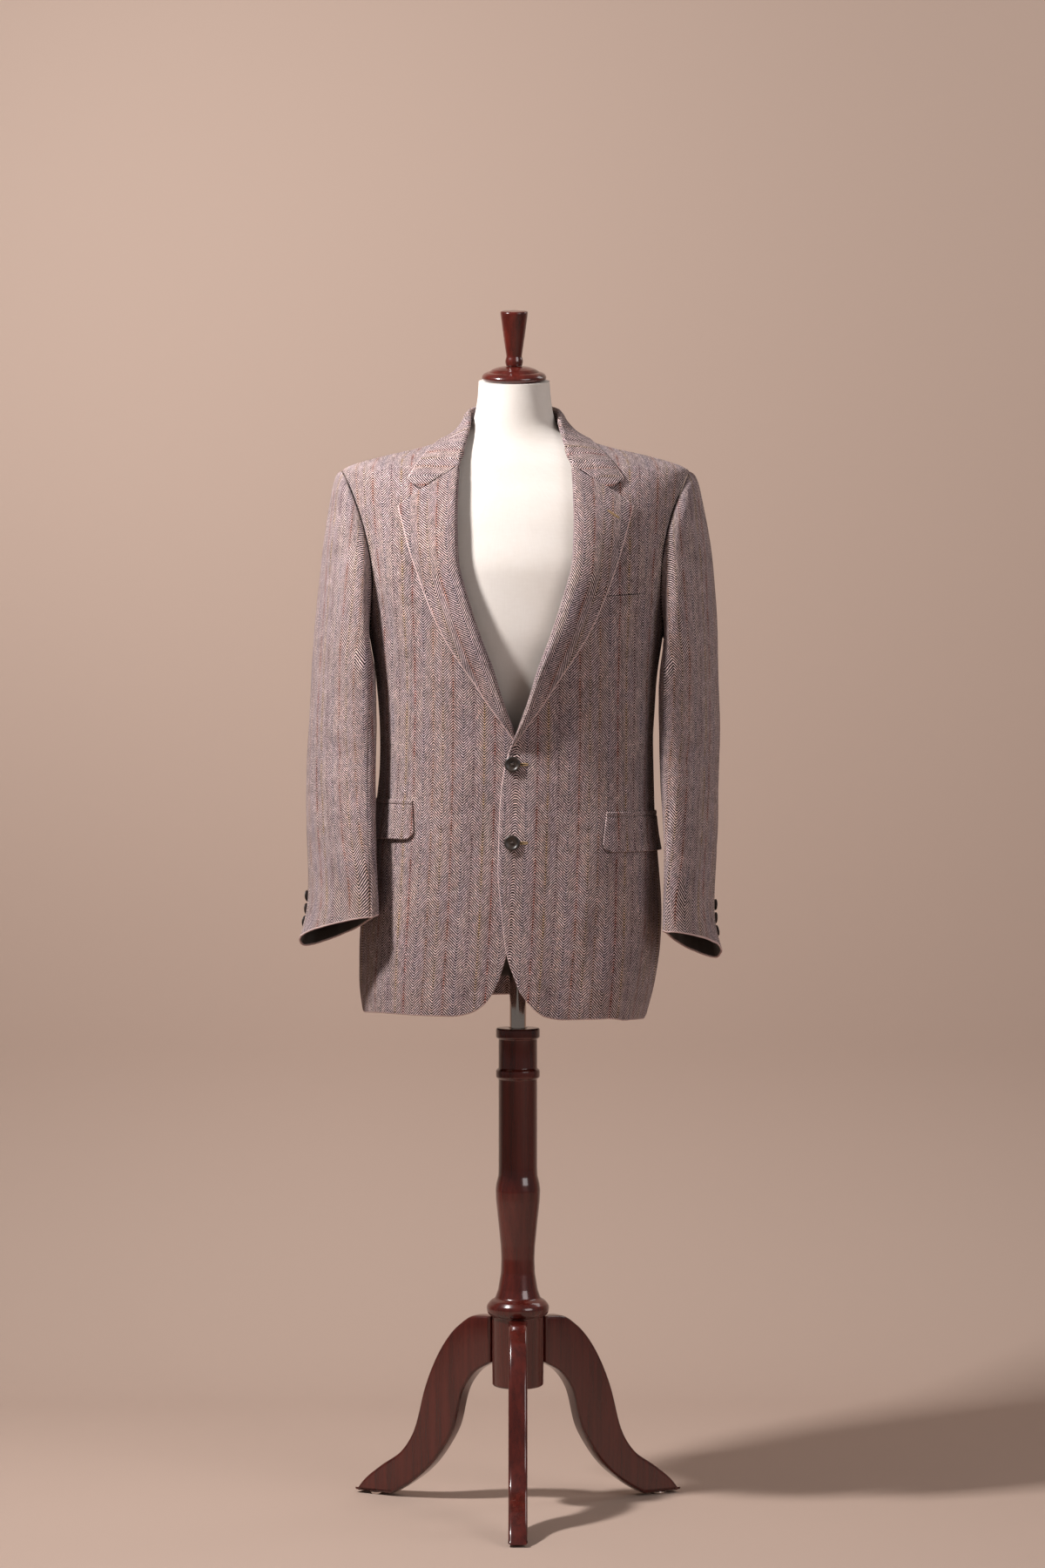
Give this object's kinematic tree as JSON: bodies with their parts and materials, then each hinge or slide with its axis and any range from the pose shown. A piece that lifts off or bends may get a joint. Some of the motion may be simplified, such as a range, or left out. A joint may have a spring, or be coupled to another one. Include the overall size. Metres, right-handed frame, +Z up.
{
  "type": "tweed hacking jacket on a dress form stand",
  "caption": "Single-breasted herringbone tweed jacket with notched lapels and flap pockets, worn by a limbless linen dress form on a turned wooden tripod stand.",
  "frame": {"origin": "middle of the footprint, on the floor", "axes": "+Z up, the jacket faces -Y, +X is the wearer's left"},
  "size_m": [0.5553, 0.3813, 1.5826],
  "materials": {
    "tweed": "napped herringbone wool in mauve-taupe with rust, gold and blue-grey stripes",
    "lining": "smooth brown lining with a soft sheen",
    "horn": "polished brown horn",
    "linen": "off-white plain woven linen over a firm core",
    "mahogany": "glossy dark cherry-mahogany varnish",
    "chrome": "polished"
  },
  "bodies": {
    "stand": {"column": "mahogany", "leg_front": "mahogany", "leg_left": "mahogany", "leg_right": "mahogany", "glide_front": "chrome", "glide_left": "chrome", "glide_right": "chrome"},
    "rod": {"rod": "chrome"},
    "form": {"front_left": "tweed", "front_right": "tweed", "side_left": "tweed", "side_right": "tweed", "back_left": "tweed", "back_right": "tweed", "lapel_left": "tweed", "lapel_right": "tweed", "collar": "tweed", "sleeve_top_left": "tweed", "sleeve_top_right": "tweed", "sleeve_under_left": "tweed", "sleeve_under_right": "tweed", "pocket_flap_left": "tweed", "pocket_flap_right": "tweed", "pocket_jet_left": "tweed", "pocket_jet_right": "tweed", "breast_welt": "tweed", "lining_back": "lining", "button_front_1": "horn", "button_front_2": "horn", "cuff_button_left_1": "horn", "cuff_button_left_2": "horn", "cuff_button_left_3": "horn", "cuff_button_right_1": "horn", "cuff_button_right_2": "horn", "cuff_button_right_3": "horn", "form": "linen", "neck_cap": "mahogany", "finial": "mahogany", "form_socket": "mahogany"}
  },
  "joints": [
    {"name": "height_slide", "type": "slide", "parent": "stand", "child": "rod", "axis": [0, 0, 1], "range_m": [-0.1, 0.16]},
    {"name": "form_turn", "type": "hinge", "parent": "rod", "child": "form", "pos_m": [0.0098, 0.0527, 0.757], "axis": [0, 0, 1], "continuous": true}
  ]
}
